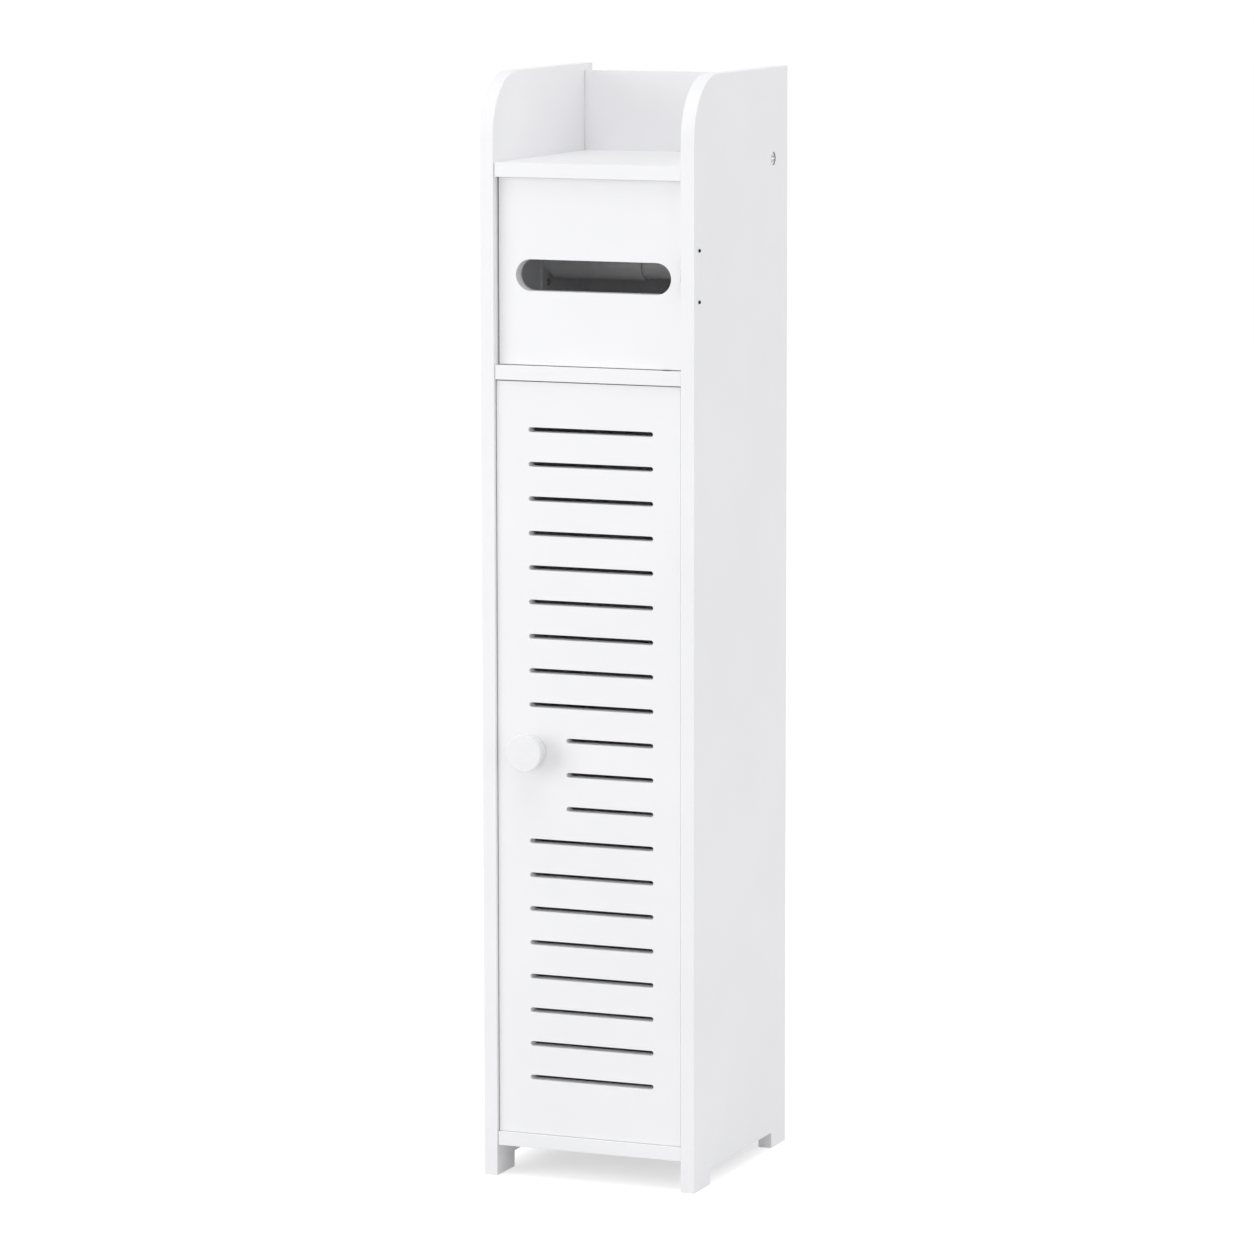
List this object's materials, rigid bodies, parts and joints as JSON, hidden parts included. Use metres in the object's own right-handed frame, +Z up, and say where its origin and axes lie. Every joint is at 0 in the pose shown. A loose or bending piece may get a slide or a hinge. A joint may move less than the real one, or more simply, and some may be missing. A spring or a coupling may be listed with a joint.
{
  "type": "toilet roll storage cabinet",
  "caption": "Narrow white free-standing cabinet with an open top tray, a small door with a round-ended window over a spring roller, and a tall louvred door with a knob.",
  "frame": {"origin": "on the floor, in the middle of the cabinet's footprint with the knob counted in", "axes": "+Z up; the doors face -Y; +X is towards the doors' hinges, the viewer's right from the front"},
  "size_m": [0.1612, 0.192, 0.78],
  "materials": {
    "white_board": "satin white lacquered fibreboard",
    "white_plastic": "moulded white plastic",
    "white_socket": "moulded white plastic",
    "beech": "bare fluted beech",
    "zinc_steel": "zinc plated",
    "bright_plated": "nickel plated",
    "blackened_steel": "black oxide",
    "cam_alloy": "die-cast zinc alloy",
    "magnet": "ferrite between pole plates",
    "spring_steel": "bright drawn wire"
  },
  "bodies": {
    "cabinet": {"side_panel_left": "white_board", "side_panel_right": "white_board", "top_shelf": "white_board", "divider_shelf": "white_board", "bottom_shelf": "white_board", "back_panel": "white_board", "inner_shelf": "white_board", "shelf_supports": "white_socket", "dowels": "beech", "cam_bolts": "zinc_steel", "cam_nuts": "cam_alloy", "top_shelf_screws": "bright_plated", "back_panel_screws": "zinc_steel", "roll_hinge_panel_leaf": "zinc_steel", "roll_hinge_pin": "zinc_steel", "roll_hinge_panel_screws": "blackened_steel", "hinge_recess_strip": "white_board", "roll_catch": "white_socket", "storage_catch": "white_socket", "catch_magnets": "magnet", "catch_screws": "zinc_steel", "roller_socket_left": "white_socket", "roller_socket_right": "white_socket", "socket_screws": "zinc_steel", "pivot_pin_top": "zinc_steel", "pivot_pin_bottom": "zinc_steel"},
    "roll_door": {"roll_door": "white_board", "roll_hinge_door_leaf": "zinc_steel", "roll_hinge_door_screws": "zinc_steel", "roll_strike_plate": "zinc_steel", "roll_strike_screws": "zinc_steel"},
    "storage_door": {"storage_door": "white_board", "door_knob": "white_plastic", "knob_screw": "zinc_steel", "pivot_bush_top": "white_socket", "pivot_bush_bottom": "white_socket", "storage_strike_plate": "zinc_steel", "storage_strike_screws": "zinc_steel"},
    "roller": {"roller_barrel": "white_plastic", "roller_spring": "spring_steel"},
    "roller_plunger": {"roller_plunger": "white_plastic"}
  },
  "joints": [
    {"name": "roll_door_hinge", "type": "hinge", "parent": "cabinet", "child": "roll_door", "pos_m": [0.0697, -0.0788, 0.6425], "axis": [0, 0, 1], "range_deg": [0, 110]},
    {"name": "storage_door_hinge", "type": "hinge", "parent": "cabinet", "child": "storage_door", "pos_m": [0.05665, -0.076, 0.2995], "axis": [0, 0, 1], "range_deg": [0, 120]},
    {"name": "roller_spin", "type": "hinge", "parent": "cabinet", "child": "roller", "pos_m": [0, 0.007, 0.6425], "axis": [1, 0, 0], "continuous": true},
    {"name": "roller_compress", "type": "slide", "parent": "roller", "child": "roller_plunger", "axis": [-1, 0, 0], "range_m": [0, 0.006], "stiffness_N_per_m": 300, "springref_m": -0.02, "deforming": ["roller_spring"]}
  ]
}
